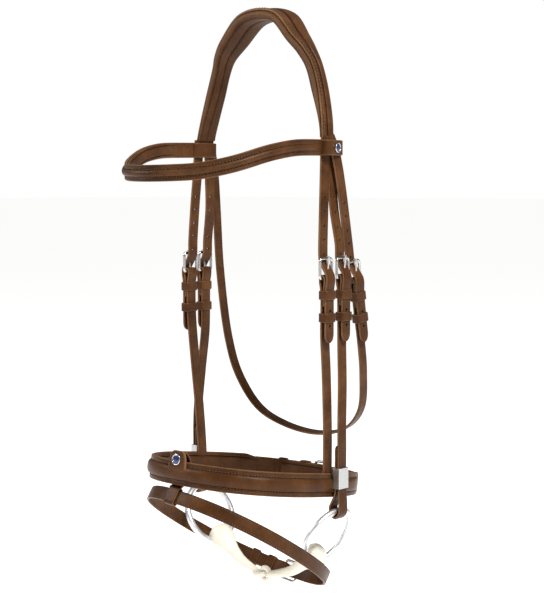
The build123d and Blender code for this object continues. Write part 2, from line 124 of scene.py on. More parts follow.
def make_camera():
    """Camera at the photographer's height, a little above the middle of the bridle."""
    right = Vector((math.cos(VIEW_AZIMUTH), math.sin(VIEW_AZIMUTH), 0))
    back = Vector((math.sin(VIEW_AZIMUTH), -math.cos(VIEW_AZIMUTH), 0))
    place = back * VIEW_DISTANCE + right * VIEW_SIDE + Vector((0, 0, CAMERA_Z))
    target = right * VIEW_SIDE + Vector((0, 0, TARGET_Z))
    camera = bpy.data.objects.new("camera", bpy.data.cameras.new("camera"))
    bpy.context.scene.collection.objects.link(camera)
    camera.location = place * MM
    camera.rotation_mode = "QUATERNION"
    camera.rotation_quaternion = (target - place).to_track_quat("-Z", "Y")
    camera.data.sensor_width = 36
    camera.data.lens = 18 / (LONG_SIDE_PIXELS / 2 / (target - place).length)
    bpy.context.scene.camera = camera


def area_light(name, place, size, power):
    """Soft square light that looks at the middle of the bridle."""
    data = bpy.data.lights.new(name, "AREA")
    data.size = size
    data.energy = power
    light = bpy.data.objects.new(name, data)
    bpy.context.scene.collection.objects.link(light)
    light.location = place
    light.rotation_mode = "QUATERNION"
    light.rotation_quaternion = (Vector((0, 0, -0.28)) - Vector(place)).to_track_quat("-Z", "Y")


def make_studio():
    """Pale floor under a white sky, with soft lights above and to both sides."""
    world = bpy.data.worlds.new("studio")
    bpy.context.scene.world = world
    world.use_nodes = True
    tree = world.node_tree
    backdrop = tree.nodes["Background"]
    backdrop.inputs["Color"].default_value = (1, 1, 1, 1)
    backdrop.inputs["Strength"].default_value = 1.0
    fill = tree.nodes.new("ShaderNodeBackground")
    fill.inputs["Color"].default_value = (1, 0.985, 0.96, 1)
    fill.inputs["Strength"].default_value = FILL_STRENGTH
    rays = tree.nodes.new("ShaderNodeLightPath")
    either = tree.nodes.new("ShaderNodeMixShader")
    tree.links.new(rays.outputs["Is Camera Ray"], either.inputs[0])
    tree.links.new(fill.outputs[0], either.inputs[1])
    tree.links.new(backdrop.outputs[0], either.inputs[2])
    tree.links.new(either.outputs[0], tree.nodes["World Output"].inputs["Surface"])
    area_light("key_light", (1.25, -0.35, 1.15), KEY_SIZE, KEY_POWER)
    area_light("left_light", (-1.3, -0.9, 0.55), LEFT_SIZE, LEFT_POWER)
    mesh = bpy.data.meshes.new("floor")
    corners = [(-1, -1), (1, -1), (1, 1), (-1, 1)]
    mesh.from_pydata([(FLOOR_REACH * x, FLOOR_REACH * y, FLOOR_Z) for x, y in corners], [], [(0, 1, 2, 3)])
    floor = bpy.data.objects.new("floor", mesh)
    bpy.context.scene.collection.objects.link(floor)
    white = bpy.data.materials.new("floor_white")
    white.use_nodes = True
    shader = white.node_tree.nodes["Principled BSDF"]
    shader.inputs["Base Color"].default_value = (0.8, 0.8, 0.8, 1)
    shader.inputs["Roughness"].default_value = 1.0
    shader.inputs["Emission Color"].default_value = (1, 1, 1, 1)
    shader.inputs["Emission Strength"].default_value = FLOOR_GLOW
    mesh.materials.append(white)
    bpy.context.scene.view_settings.view_transform = "Standard"


make_camera()
make_studio()


# ---------------------------------------------------------------- materials
def new_material(name):
    """Node material with its shader and its texture coordinates."""
    material = bpy.data.materials.new(name)
    material.use_nodes = True
    nodes = material.node_tree.nodes
    shader = nodes["Principled BSDF"]
    coords = nodes.new("ShaderNodeTexCoord")
    return material, nodes, material.node_tree.links, shader, coords


def bump_from(nodes, links, height, shader, strength, distance, base=None):
    """Chain a bump onto the shader's normal and give the bump back."""
    bump = nodes.new("ShaderNodeBump")
    bump.inputs["Strength"].default_value = strength
    bump.inputs["Distance"].default_value = distance
    links.new(height, bump.inputs["Height"])
    if base is not None:
        links.new(base.outputs["Normal"], bump.inputs["Normal"])
    links.new(bump.outputs["Normal"], shader.inputs["Normal"])
    return bump


def noise(nodes, links, coords, scale, detail=4.0, rough=0.6):
    """Noise texture in the row frame."""
    texture = nodes.new("ShaderNodeTexNoise")
    texture.inputs["Scale"].default_value = scale
    texture.inputs["Detail"].default_value = detail
    texture.inputs["Roughness"].default_value = rough
    links.new(coords.outputs["Object"], texture.inputs["Vector"])
    return texture


def ramp(nodes, links, source, stops):
    """Colour ramp with the given stops."""
    node = nodes.new("ShaderNodeValToRGB")
    while len(node.color_ramp.elements) < len(stops):
        node.color_ramp.elements.new(0.5)
    for element, (position, color) in zip(node.color_ramp.elements, stops):
        element.position = position
        element.color = (*color, 1)
    links.new(source, node.inputs["Fac"])
    return node


def mix_color(nodes, links, share, first, second, blend="MIX"):
    """Socket with two colours mixed; share and second may be sockets or plain values."""
    node = nodes.new("ShaderNodeMix")
    node.data_type = "RGBA"
    node.blend_type = blend
    factor, color_a, color_b = node.inputs[0], node.inputs[6], node.inputs[7]
    if hasattr(share, "is_output"):
        links.new(share, factor)
    else:
        factor.default_value = share
    links.new(first, color_a)
    if hasattr(second, "is_output"):
        links.new(second, color_b)
    else:
        color_b.default_value = (*second, 1)
    return node.outputs[2]


def attribute(nodes, name):
    """Number stored on the mesh's points."""
    node = nodes.new("ShaderNodeAttribute")
    node.attribute_name = name
    return node.outputs["Fac"]


def leather(name, dark, mid, light, edge, roughness, grain):
    """Oiled leather: cloudy dye, fine grain, worn lighter edges and painted shade in creases and sewn
    channels.
    """
    material, nodes, links, shader, coords = new_material(name)
    clouds = noise(nodes, links, coords, 38, 6, 0.62)
    dye = ramp(nodes, links, clouds.outputs["Fac"], [(0.28, dark), (0.5, mid), (0.74, light)])
    fibres = noise(nodes, links, coords, 900, 3, 0.7)
    fleck = ramp(nodes, links, fibres.outputs["Fac"], [(0.3, (0.78, 0.78, 0.78)), (0.7, (1.16, 1.14, 1.1))])
    flecked = mix_color(nodes, links, 1.0, dye.outputs["Color"], fleck.outputs["Color"], "MULTIPLY")
    worn = nodes.new("ShaderNodeMath")
    worn.operation = "MULTIPLY"
    links.new(attribute(nodes, "edge"), worn.inputs[0])
    patches = ramp(nodes, links, clouds.outputs["Fac"], [(0.2, (0.35,) * 3), (0.8, (1,) * 3)])
    links.new(patches.outputs["Color"], worn.inputs[1])
    with_edge = mix_color(nodes, links, worn.outputs["Value"], flecked, edge)
    # painted shade: creases and sewn channels are mixed towards a third of the dark dye
    with_groove_shade = mix_color(nodes, links, attribute(nodes, "groove_shade"), with_edge, [c * 0.3 for c in dark])
    links.new(with_groove_shade, shader.inputs["Base Color"])
    rough = nodes.new("ShaderNodeMapRange")
    rough.inputs["To Min"].default_value = roughness - 0.09
    rough.inputs["To Max"].default_value = roughness + 0.12
    links.new(clouds.outputs["Fac"], rough.inputs["Value"])
    links.new(rough.outputs["Result"], shader.inputs["Roughness"])
    shader.inputs["Specular IOR Level"].default_value = 0.10
    cells = nodes.new("ShaderNodeTexVoronoi")
    cells.inputs["Scale"].default_value = 1500
    links.new(coords.outputs["Object"], cells.inputs["Vector"])
    pores = bump_from(nodes, links, cells.outputs["Distance"], shader, grain, 0.0003)
    wrinkles = noise(nodes, links, coords, 160, 5, 0.6)
    bump_from(nodes, links, wrinkles.outputs["Fac"], shader, 0.22, 0.0012, pores)
    return material


def metal(name, color, roughness, streaks):
    """Bright metal with faint polishing marks."""
    material, nodes, links, shader, coords = new_material(name)
    shader.inputs["Metallic"].default_value = 1.0
    marks = noise(nodes, links, coords, streaks, 5, 0.7)
    tone = ramp(nodes, links, marks.outputs["Fac"], [(0.25, [c * 0.86 for c in color]), (0.75, color)])
    links.new(tone.outputs["Color"], shader.inputs["Base Color"])
    rough = nodes.new("ShaderNodeMapRange")
    rough.inputs["To Min"].default_value = roughness * 0.7
    rough.inputs["To Max"].default_value = roughness * 1.5
    links.new(marks.outputs["Fac"], rough.inputs["Value"])
    links.new(rough.outputs["Result"], shader.inputs["Roughness"])
    bump_from(nodes, links, marks.outputs["Fac"], shader, 0.02, 0.0001)
    return material


def enamel_blue():
    """Deep blue enamel with a swirled tone."""
    material, nodes, links, shader, coords = new_material("enamel_blue")
    swirl = noise(nodes, links, coords, 210, 3, 0.5)
    tone = ramp(nodes, links, swirl.outputs["Fac"], [(0.3, (0.006, 0.015, 0.07)), (0.7, (0.014, 0.04, 0.15))])
    links.new(tone.outputs["Color"], shader.inputs["Base Color"])
    shader.inputs["Roughness"].default_value = 0.16
    shader.inputs["Coat Weight"].default_value = 0.3
    bump_from(nodes, links, swirl.outputs["Fac"], shader, 0.03, 0.0003)
    return material


def pale_rubber():
    """Cream moulded mouthpiece with a soft sheen."""
    material, nodes, links, shader, coords = new_material("pale_rubber")
    clouds = noise(nodes, links, coords, 60, 4, 0.5)
    tone = ramp(nodes, links, clouds.outputs["Fac"], [(0.25, (0.79, 0.73, 0.59)), (0.8, (0.87, 0.83, 0.73))])
    links.new(tone.outputs["Color"], shader.inputs["Base Color"])
    shader.inputs["Roughness"].default_value = 0.34
    shader.inputs["Subsurface Weight"].default_value = 0.25
    shader.inputs["Subsurface Radius"].default_value = (0.004, 0.003, 0.002)
    bump_from(nodes, links, noise(nodes, links, coords, 1100, 3, 0.6).outputs["Fac"], shader, 0.12, 0.0003)
    return material


def thread():
    """Waxed linen thread."""
    material, nodes, links, shader, coords = new_material("thread")
    fuzz = noise(nodes, links, coords, 1800, 3, 0.7)
    tone = ramp(nodes, links, fuzz.outputs["Fac"],
                [(0.3, (0.060, 0.031, 0.016)), (0.7, (0.150, 0.083, 0.045))])
    links.new(tone.outputs["Color"], shader.inputs["Base Color"])
    shader.inputs["Roughness"].default_value = 0.62
    bump_from(nodes, links, fuzz.outputs["Fac"], shader, 0.4, 0.0002)
    return material


STRAP = leather("bridle_leather", (0.041, 0.0152, 0.0050), (0.066, 0.0262, 0.0090), (0.104, 0.0450, 0.0175),
                (0.22, 0.115, 0.056), 0.33, 0.22)
LINING = leather("lining_leather", (0.039, 0.0147, 0.0050), (0.061, 0.0245, 0.0086), (0.092, 0.0400, 0.0160),
                 (0.14, 0.072, 0.037), 0.48, 0.38)
NICKEL = metal("polished_nickel", (0.62, 0.61, 0.59), 0.22, 240)
SATIN = metal("satin_steel", (0.56, 0.56, 0.55), 0.34, 420)
BIT_STEEL = metal("bit_steel", (0.79, 0.80, 0.81), 0.42, 60)
ENAMEL = enamel_blue()
RUBBER = pale_rubber()
THREAD = thread()


# ---------------------------------------------------------------- mesh tools
def add_mesh(name, points, faces, material, smooth=True, marks=None):
    """New object in the row frame; points are millimetres; marks are named numbers per point."""
    mesh = bpy.data.meshes.new(name)
    mesh.from_pydata([Vector(p) * MM for p in points], [], faces)
    mesh.materials.append(material)
    for label, values in (marks or {}).items():
        mesh.attributes.new(label, "FLOAT", "POINT").data.foreach_set("value", values)
    mesh.validate()
    mesh.update()
    piece = bpy.data.objects.new(name, mesh)
    bpy.context.scene.collection.objects.link(piece)
    if smooth:
        mesh.shade_smooth()
        mesh.set_sharp_from_angle(angle=SHARP_ANGLE)
    return piece


def skin_faces(base, rows, size, closed=False):
    """Faces over rings of equally many points from a first point on, capped unless the path is closed."""
    faces = []
    for row in range(rows if closed else rows - 1):
        here = base + row * size
        there = base + ((row + 1) % rows) * size
        for column in range(size):
            after = (column + 1) % size
            faces.append((here + column, here + after, there + after, there + column))
    if not closed:
        faces.append(tuple(base + k for k in reversed(range(size))))
        faces.append(tuple(base + (rows - 1) * size + k for k in range(size)))
    return faces


def loft(name, rings, material, marks=None, closed=False):
    """Skin over closed rings of equally many points."""
    points = [point for ring in rings for point in ring]
    faces = skin_faces(0, len(rings), len(rings[0]), closed)
    return add_mesh(name, points, faces, material, True, marks)


def spline(points, spacing):
    """Evenly spaced points on the Catmull-Rom curve through the points."""
    points = [Vector(p) for p in points]
    padded = [points[0] * 2 - points[1], *points, points[-1] * 2 - points[-2]]
    dense = []
    for a, b, c, d in zip(padded, padded[1:], padded[2:], padded[3:]):
        knots = [0.0]
        for before, after in ((a, b), (b, c), (c, d)):
            knots.append(knots[-1] + max(1e-6, (after - before).length) ** 0.5)
        for step in range(16):
            t = knots[1] + (knots[2] - knots[1]) * step / 16
            dense.append(centripetal(a, b, c, d, knots, t))
    dense.append(points[-1])
    return resample(dense, spacing)


def centripetal(a, b, c, d, knots, t):
    """Point of a centripetal Catmull-Rom span, which doesn't loop at tight bends."""
    def between(p, q, low, high):
        return p * ((high - t) / (high - low)) + q * ((t - low) / (high - low))
    first = between(a, b, knots[0], knots[1])
    second = between(b, c, knots[1], knots[2])
    third = between(c, d, knots[2], knots[3])
    return between(between(first, second, knots[0], knots[2]), between(second, third, knots[1], knots[3]),
                   knots[1], knots[2])


def resample(dense, spacing):
    """Points at equal steps along a fine polyline."""
    lengths = [0.0]
    for before, after in zip(dense, dense[1:]):
        lengths.append(lengths[-1] + (after - before).length)
    count = max(2, round(lengths[-1] / spacing))
    chosen = []
    reached = 0
    for number in range(count + 1):
        goal = lengths[-1] * number / count
        while reached < len(dense) - 2 and lengths[reached + 1] < goal:
            reached += 1
        share = (goal - lengths[reached]) / max(1e-9, lengths[reached + 1] - lengths[reached])
        chosen.append(dense[reached].lerp(dense[reached + 1], min(1.0, max(0.0, share))))
    return chosen


def path_frames(path, across_hint):
    """(point, across, out) along a path; out turns with the path and never flips."""
    frames = []
    for index, point in enumerate(path):
        before = path[max(0, index - 1)]
        after = path[min(len(path) - 1, index + 1)]
        along = (after - before).normalized()
        across = Vector(across_hint)
        across = (across - along * across.dot(along)).normalized()
        frames.append((point, across, along.cross(across)))
    return frames


def section(half, outer, inner, radius, samples=16):
    """Closed cross-section of a band: (across, out, edge, painted groove shade) for each point."""
    def rounding(a):
        over = max(0.0, abs(a) - (half - radius)) / radius
        return math.sqrt(max(0.0, 1 - min(1.0, over) ** 2))
    spots = [-half * math.cos(math.pi * k / samples) * 0.35 + half * (2 * k / samples - 1) * 0.65
             for k in range(samples + 1)]
    ring = []
    for face, order in ((outer, spots), (inner, list(reversed(spots)))):
        for a in order:
            out, groove_shade = face(a)
            middle = (outer(a)[0] + inner(a)[0]) / 2
            edge = max(0.0, (abs(a) / half - 0.86) / 0.14) ** 2
            ring.append((a, middle + (out - middle) * max(0.16, rounding(a)), edge, groove_shade))
    return ring


def flat(height):
    """Plain face of a strap."""
    return lambda a: (height, 0.0)


def strap_section(width=STRAP_WIDTH, thickness=STRAP_THICK):
    """Plain strap, very slightly crowned, with a creased line along each edge that carries painted shade."""
    half = width / 2
    def outer(a):
        crease = math.exp(-((abs(a) - (half - 1.5)) / 0.35) ** 2)
        # second number: painted shade along the creases
        return thickness / 2 + 0.15 * (1 - (a / half) ** 2) - 0.16 * crease, 0.45 * crease
    return section(half, outer, flat(-thickness / 2), 0.9, 22)


def sweep(name, frames, shape, material, closed=False, taper=None):
    """Band along frames; taper gives the share of the width left at a path position."""
    rings = []
    marks = {"edge": [], "groove_shade": []}
    for index, (point, across, out) in enumerate(frames):
        form = shape(index / (len(frames) - 1)) if callable(shape) else shape
        share = taper(index / (len(frames) - 1)) if taper else 1.0
        rings.append([point + across * (a * share) + out * o for a, o, edge, groove_shade in form])
        marks["edge"].extend(edge for a, o, edge, groove_shade in form)
        marks["groove_shade"].extend(groove_shade for a, o, edge, groove_shade in form)
    return loft(name, rings, material, marks, closed)


def place(piece, body, slot, *nodes):
    """Ride on a body and stand for CAD nodes; slot is not used."""
    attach(piece, body)
    if nodes:
        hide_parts(*nodes)
    return piece


def stitches(name, rows, body, length=2.1, pitch=3.3, radius=0.34):
    """One mesh of thread stitches along rows of frames, lying on the out side."""
    points = []
    faces = []
    sides = 6
    for path in rows:
        walked = 0.0
        for (start, _, out_a), (end, _, _) in zip(path, path[1:]):
            walked += (end - start).length
            if walked < pitch:
                continue
            walked -= pitch
            along = (end - start).normalized()
            side = along.cross(out_a)
            base = len(points)
            for share, thick in ((-0.5, 0.25), (-0.3, 1.0), (0.3, 1.0), (0.5, 0.25)):
                middle = start + along * (share * length) - out_a * (0.12 if thick > 0.5 else 0.4)
                for turn in range(sides):
                    angle = math.tau * turn / sides
                    around = side * math.cos(angle) + out_a * math.sin(angle)
                    points.append(middle + around * radius * thick)
            faces += skin_faces(base, 4, sides)
    piece = add_mesh(name, points, faces, THREAD)
    return place(piece, body, "bridle_leather")


def shifted(frames, across, out):
    """The same frames moved across and out, for a seam beside a path."""
    return [(point + a * across + o * out, a, o) for point, a, o in frames]


def rounded_outline(low, high, bend, steps=6):
    """Points of a rectangle with round corners, anticlockwise."""
    points = []
    corners = ((high[0] - bend, high[1] - bend, 0), (low[0] + bend, high[1] - bend, 90),
               (low[0] + bend, low[1] + bend, 180), (high[0] - bend, low[1] + bend, 270))
    for x, y, start in corners:
        for step in range(steps + 1):
            angle = math.radians(start + 90 * step / steps)
            points.append((x + bend * math.cos(angle), y + bend * math.sin(angle)))
    return points


def mirrored(points, side):
    """Near-side points carried to the given side."""
    return [Vector((p[0] * side, p[1], p[2])) for p in points]


# ---------------------------------------------------------------- buckles, billets and side straps
def straight_place(bar, side, lean=0.0):
    """Carries a point drawn at a buckle bar (across, out, up) to the row frame."""
    turn = math.radians(lean)
    def carry(out, across, up):
        y = across * math.cos(turn) - up * math.sin(turn)
        z = across * math.sin(turn) + up * math.cos(turn)
        return Vector((side * (bar[0] + out), bar[1] + y, bar[2] + z))
    return carry


def fold_points(carry, lap=BUCKLE_LAP, bend=0.0):
    """Strap end: up from its stitched lap, over the bar and down; bend follows a curved strap."""
    points = [carry(1.75 - bend * up * up, 0, -up) for up in (lap, lap * 0.62)]
    points += [carry(2.1, 0, -min(9, lap * 0.4)), carry(2.9, 0, -3)]
    for degrees in (-8, 30, 62, 90, 118, 150, 188):
        angle = math.radians(degrees)
        points.append(carry(2.85 * math.cos(angle), 0, 2.85 * math.sin(angle)))
    below = [carry(-2.5, 0, -5)]
    if not bend:
        below += [carry(-1.3, 0, -11), carry(-0.9, 0, -20)]
    return points + below


def billet_points(carry, top_points):
    """Billet from the headpiece, behind the buckle's top side, over its bar and down the strap."""
    local = [(-3.8, 30), (-3.6, 20.5), (-2.9, 16.2), (0.0, 11.4), (2.6, 7.6), (5.2, 3.2),
             (5.8, -1.5), (5.1, -7), (4.3, -12), (4.15, -21), (4.1, -40), (4.1, TAIL_END)]
    return top_points + [carry(out, 0, up) for out, up in local]


def tip_taper(share_start):
    """Rounded point over the last stretch of a strap."""
    def taper(share):
        if share < share_start:
            return 1.0
        left = (share - share_start) / (1 - share_start)
        return max(0.12, math.sqrt(max(0.0, 1 - left ** 2.2)))
    return taper


def cut(piece, cutter):
    """Cut a shape out of a piece for good."""
    modifier = piece.modifiers.new("cut", "BOOLEAN")
    modifier.operation = "DIFFERENCE"
    modifier.solver = "EXACT"
    modifier.object = cutter
    graph = bpy.context.evaluated_depsgraph_get()
    mesh = bpy.data.meshes.new_from_object(piece.evaluated_get(graph), preserve_all_data_layers=True,
                                           depsgraph=graph)
    piece.modifiers.clear()
    piece.data = mesh
    bpy.data.objects.remove(cutter)


def billet(name, bar, side, top_points, lean=0.0):
    """Whole billet, bending at the buckle between the headpiece and the strap below."""
    carry = straight_place(bar, side, lean)
    path = spline(billet_points(carry, mirrored(top_points, side)), 1.6)
    frames = path_frames(path, (0, side, 0))
    piece = sweep(name, frames, strap_section(), STRAP, taper=tip_taper(0.955))
    spots = [frame_near(frames, carry(0, 0, 9.5 + HOLE_PITCH * number)) for number in range(6)]
    spots += [frame_near(frames, carry(4.1, 0, 9.5 - HOLE_PITCH * number)) for number in (3, 4)]
    punch(piece, spots)
    carry(0, 0, 14) * MM
    carry(0, 0, 0) * MM
    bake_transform(piece)
    return piece


def punch(piece, spots):
    """Punch round holes through a strap; spots are (point, direction through the strap)."""
    points = []
    faces = []
    sides = 16
    for point, out in spots:
        first = out.orthogonal().normalized()
        second = out.cross(first)
        base = len(points)
        for reach in (-4.0, 4.0):
            for turn in range(sides):
                angle = math.tau * turn / sides
                points.append(point + out * reach
                              + (first * math.cos(angle) + second * math.sin(angle)) * HOLE_RADIUS)
        faces += skin_faces(base, 2, sides)
    cut(piece, add_mesh("hole_cutter", points, faces, STRAP))


def frame_near(frames, spot):
    """(point, direction through the strap) of the frame nearest a spot."""
    point, _, out = min(frames, key=lambda frame: (frame[0] - spot).length)
    return point, out


HANGER_TOP = [(84.3, -9.6, -116), (84.5, -10.6, -130), (85.0, -11.8, -150), (86.2, -14.2, -182)]
CHEEK_TOP = [(81.4, 0.8, -116), (81.5, 1.6, -130), (82.0, 2.5, -150), (83.2, 4.7, -184)]
THROAT_TOP = [(83.0, -1.5, -114), (86.0, 0.6, -124), (87.4, 4.0, -138), (87.7, 10.6, -166),
              (87.4, 17.0, -196)]


def hanger(side_name, side):
    """Strap from the hanger buckle down between the noseband and its lining."""
    carry = straight_place(HANGER_BAR, side)
    lower = [(90.0, -16.5, -285), (89.4, -16.1, -303), (88.6, -12.6, -342), (86.4, -7.9, -400),
             (85.0, -6.3, -436), (84.9, -6.1, -449)]
    path = spline(fold_points(carry) + mirrored(lower, side), 1.6)
    frames = path_frames(path, (0, -side, 0))
    piece = sweep(side_name + "_hanger_leather", frames, strap_section(thickness=THIN_STRAP), STRAP)
    place(piece, "noseband", "bridle_leather", side_name + "_hanger_strap")


def cheekpiece(side_name, side):
    """Strap from the cheek buckle, round the bit ring and back up through the clip."""
    carry = straight_place(CHEEK_BAR, side)
    lower = [(91.8, 6.5, -290), (92.3, 6.1, -314), (95.2, 3.6, -352), (97.3, 0.5, -392), (97.9, 0, -412),
             (97.9, 0, -440), (98.5, 0, -457), (99.4, 0, -469), (98.9, 0, -477.5), (93.4, 0, -482.4),
             (88.0, 0, -477.8), (87.6, 0, -471.8), (90.6, 0, -465.9), (94.1, 0, -458), (94.7, 0, -449),
             (94.7, 0, -430), (94.7, 0, -411)]
    path = spline(fold_points(carry) + mirrored(lower, side), 1.5)
    frames = path_frames(path, (0, -side, 0))
    piece = sweep(side_name + "_cheek_leather", frames, strap_section(thickness=THIN_STRAP), STRAP,
                  taper=tip_taper(0.985))
    place(piece, side_name + "_cheek", "bridle_leather", side_name + "_cheekpiece")


def lap_stitches(name, carry, body):
    """Two short rows of thread through the folded strap end, above and below the fixed keeper."""
    rows = []
    for across in (-4.0, 4.0):
        path = [carry(3.15, across, -5.5 - step) for step in range(20)]
        rows.append(path_frames(path, carry(0, 1, 0) - carry(0, 0, 0)))
    flipped = [[(p, a, (carry(1, 0, 0) - carry(0, 0, 0))) for p, a, o in row] for row in rows]
    stitches(name, flipped, body, 1.8, 2.6, 0.28)


def throatlatch():
    """Strap under the jowl, from the far side of the headpiece to the near buckle."""
    carry = straight_place(THROAT_BAR, 1, THROAT_LEAN)
    lower = [(88.6, 35.4, -288), (88.4, 41, -316), (87.2, 46, -347), (79, 53, -384), (56, 58.2, -406),
             (20, 59, -415), (-25, 58.5, -411), (-60, 55, -396), (-78, 43, -362), (-84.5, 34, -324),
             (-87.5, 24, -250), (-87.2, 19, -190), (-87.0, 15.5, -150), (-85.4, 9.0, -122)]
    path = spline(fold_points(carry) + [Vector(p) for p in lower], 1.7)
    frames = path_frames(path, (0, -1, -0.16))
    piece = sweep("throatlatch_leather", frames, strap_section(THROAT_WIDTH, THIN_STRAP), STRAP)
    place(piece, "throatlatch", "bridle_leather", "throatlatch")


def side_straps():
    """Every billet, buckled strap and its stitching, on both sides."""
    for side_name, side in (("near", 1), ("far", -1)):
        hanger(side_name, side)
        cheekpiece(side_name, side)
        made = billet(side_name + "_hanger_billet", HANGER_BAR, side, HANGER_TOP)
        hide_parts(side_name + "_hanger_billet_end")
        made = billet(side_name + "_cheek_billet", CHEEK_BAR, side, CHEEK_TOP)
        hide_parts(side_name + "_cheek_billet_end")
        lap_stitches(side_name + "_hanger_lap_thread", straight_place(HANGER_BAR, side), "noseband")
        lap_stitches(side_name + "_cheek_lap_thread", straight_place(CHEEK_BAR, side), side_name + "_cheek")
    throatlatch()
    made = billet("near_throat_billet", THROAT_BAR, 1, THROAT_TOP, THROAT_LEAN)
    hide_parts("throat_billet", "throat_billet_end")
    lap_stitches("throat_lap_thread", straight_place(THROAT_BAR, 1, THROAT_LEAN), "throatlatch")


side_straps()


# ---------------------------------------------------------------- headpiece
CROWN_PATH = [(82.6, -136), (81.8, -117), (79, -96), (72.5, -66), (64.5, -43), (57, -30),
              (45, -16.5), (24, 4.6)]
CROWN_FRONT = [(-137, -16), (-117, -13.6), (-97, -11.2), (-67, -8.4), (-45, -8.4), (-32, -12),
               (-16, -16), (16, -15)]
CROWN_BACK = [(-137, 7), (-117, 6.5), (-97, 8.5), (-67, 9), (-45, 9), (-32, 9.5), (-14, 15), (16, 22)]


def crown_arch():
    """Middle line of the headpiece leather, from the near side over the poll to the far side."""
    top = (0, POLL_PAD + 0.2 + CROWN_THICK / 2)
    half = [Vector((x, 0, z)) for x, z in CROWN_PATH]
    other = [Vector((-x, 0, z)) for x, z in reversed(CROWN_PATH)]
    return spline(half + [Vector((top[0], 0, top[1]))] + other, 2.5)


def edge_at(edge, z):
    """Front or back edge of the headpiece at a height, on one smooth curve through its points."""
    z = min(max(z, edge[0][0]), edge[-1][0])
    slopes = [(after[1] - before[1]) / (after[0] - before[0])
              for before, after in zip(edge[:1] + edge[:-1], edge[1:] + edge[-1:])]
    for (low, y_low), (high, y_high), slope_low, slope_high in zip(edge, edge[1:], slopes, slopes[1:]):
        if z <= high:
            span = high - low
            share = (z - low) / span
            rise = y_high - y_low
            start = slope_low * span
            end = slope_high * span
            bend = 3 * rise - 2 * start - end
            return y_low + share * (start + share * (bend + share * (start + end - 2 * rise)))
    return edge[-1][1]


def crown_band(name, start_z, grow, outer, inner, material, radius):
    """Layer of the headpiece; outer and inner give heights by width share and height, grow its two edges."""
    rings = []
    marks = {"edge": [], "groove_shade": []}
    arch = [p for p in crown_arch() if p.z > start_z]
    for point, _, normal in path_frames(arch, (0, 1, 0)):
        low = edge_at(CROWN_FRONT, point.z) - grow[0] * fullness(point.z)
        high = edge_at(CROWN_BACK, point.z) + grow[1] * fullness(point.z)
        half = (high - low) / 2
        ring = []
        upper = functools.partial(outer, point.z, half)
        under = functools.partial(inner, point.z, half)
        for a, out, edge, groove_shade in section(half, upper, under, radius, 30):
            y = (low + high) / 2 + a
            narrow = 1 - TWIST_PER_MM * (y - TWIST_CENTRE_Y)
            spot = Vector((point.x * narrow, y, point.z)) - normal * out
            ring.append(spot)
            marks["edge"].append(edge)
            marks["groove_shade"].append(groove_shade)
        rings.append(ring)
    return loft(name, rings, material, marks)


def groove(u, centre, width):
    """Share of a pressed line at a place across a band."""
    return math.exp(-((u - centre) / width) ** 2)


def fullness(z):
    """Share of the poll pad's full size, from thin at its lower ends to full over the poll."""
    share = min(1.0, max(0.0, (z - PAD_LOW_Z) / (PAD_FULL_Z - PAD_LOW_Z)))
    return 0.2 + 0.8 * share * share * (3 - 2 * share)


def crown_outer(z, half, a):
    """Headpiece leather: a raised roll along its back half, a deep channel before it and creased edges; the
    channel and creases carry painted shade.
    """
    u = a / half
    crease = groove(u, -0.88, 0.03) + groove(u, 0.88, 0.03) + 2.0 * groove(u, -0.2, 0.06)
    roll = 1.5 * max(0.0, 1 - ((u - 0.36) / 0.5) ** 2) ** 0.6
    # second number: painted shade in the channel and creases
    return CROWN_THICK / 2 + 0.2 * (1 - u * u) + roll - 0.5 * crease, min(1, 0.8 * crease)


def crown_underside(z, half, a):
    """Flat flesh side of the headpiece leather."""
    return -CROWN_THICK / 2, 0.0


def pad_top(z, half, a):
    """Face of the pad that is glued to the leather."""
    return -CROWN_THICK / 2 + 0.1, 0.0


def pad_lobes(z, half, a):
    """Underside of the poll pad: two rolls with a sewn channel between them and a bound edge, both darkened
    with painted shade.
    """
    u = a / half
    groove_shade = groove(u, -0.06, 0.045)
    front = groove(u, -0.8, 0.03)
    roll = 1 - 0.28 * u ** 4 - 0.34 * groove_shade - 0.16 * front
    # second number: painted shade in the sewn channel and along the bound edge
    return -CROWN_THICK / 2 - 0.2 - POLL_PAD * fullness(z) * roll, min(1, groove_shade + 0.6 * front)


def headpiece():
    """Leather, padded lining and edge stitching of the headpiece."""
    leather_piece = crown_band("headpiece_strap", -132, (0, 0), crown_outer, crown_underside, STRAP, 1.4)
    place(leather_piece, "headpiece", "bridle_leather", "headpiece_leather")
    pad = crown_band("headpiece_padding", PAD_LOW_Z, (2.6, 1.0), pad_top, pad_lobes, LINING, 3.2)
    place(pad, "headpiece", "padding_leather", "headpiece_pad")
    rows = []
    arch = path_frames([p for p in crown_arch() if p.z > -116], (0, 1, 0))
    for edge, inset in ((CROWN_FRONT, 2.4), (CROWN_BACK, -2.4)):
        row = []
        for point, across, normal in arch:
            y = edge_at(edge, point.z) + inset
            narrow = 1 - TWIST_PER_MM * (y - TWIST_CENTRE_Y)
            surface = CROWN_THICK / 2 + 0.28
            row.append((Vector((point.x * narrow, y, point.z)) - normal * surface, across, -normal))
        rows.append(dense_row(row))
    stitches("headpiece_thread", rows, "headpiece")


def dense_row(row, step=0.55):
    """Frames along a row at a fine even step."""
    fine = []
    for (start, a, o), (end, _, _) in zip(row, row[1:]):
        count = max(1, round((end - start).length / step))
        for number in range(count):
            fine.append((start.lerp(end, number / count), a, o))
    return fine


headpiece()


# ---------------------------------------------------------------- browband
def brow_height(y):
    """Height of the browband's middle: level at the temples, dipping on the forehead."""
    table = [(-190, 1.0), (-165, 1.0), (-145, 0.93), (-120, 0.66), (-90, 0.25), (-60, 0.03),
             (-20, 0.0), (40, 0.0)]
    for (low, drop_low), (high, drop_high) in zip(table, table[1:]):
        if y <= high:
            share = (y - low) / (high - low)
            return BROW_Z - BROW_DIP * (drop_low + (drop_high - drop_low) * share)
    return BROW_Z


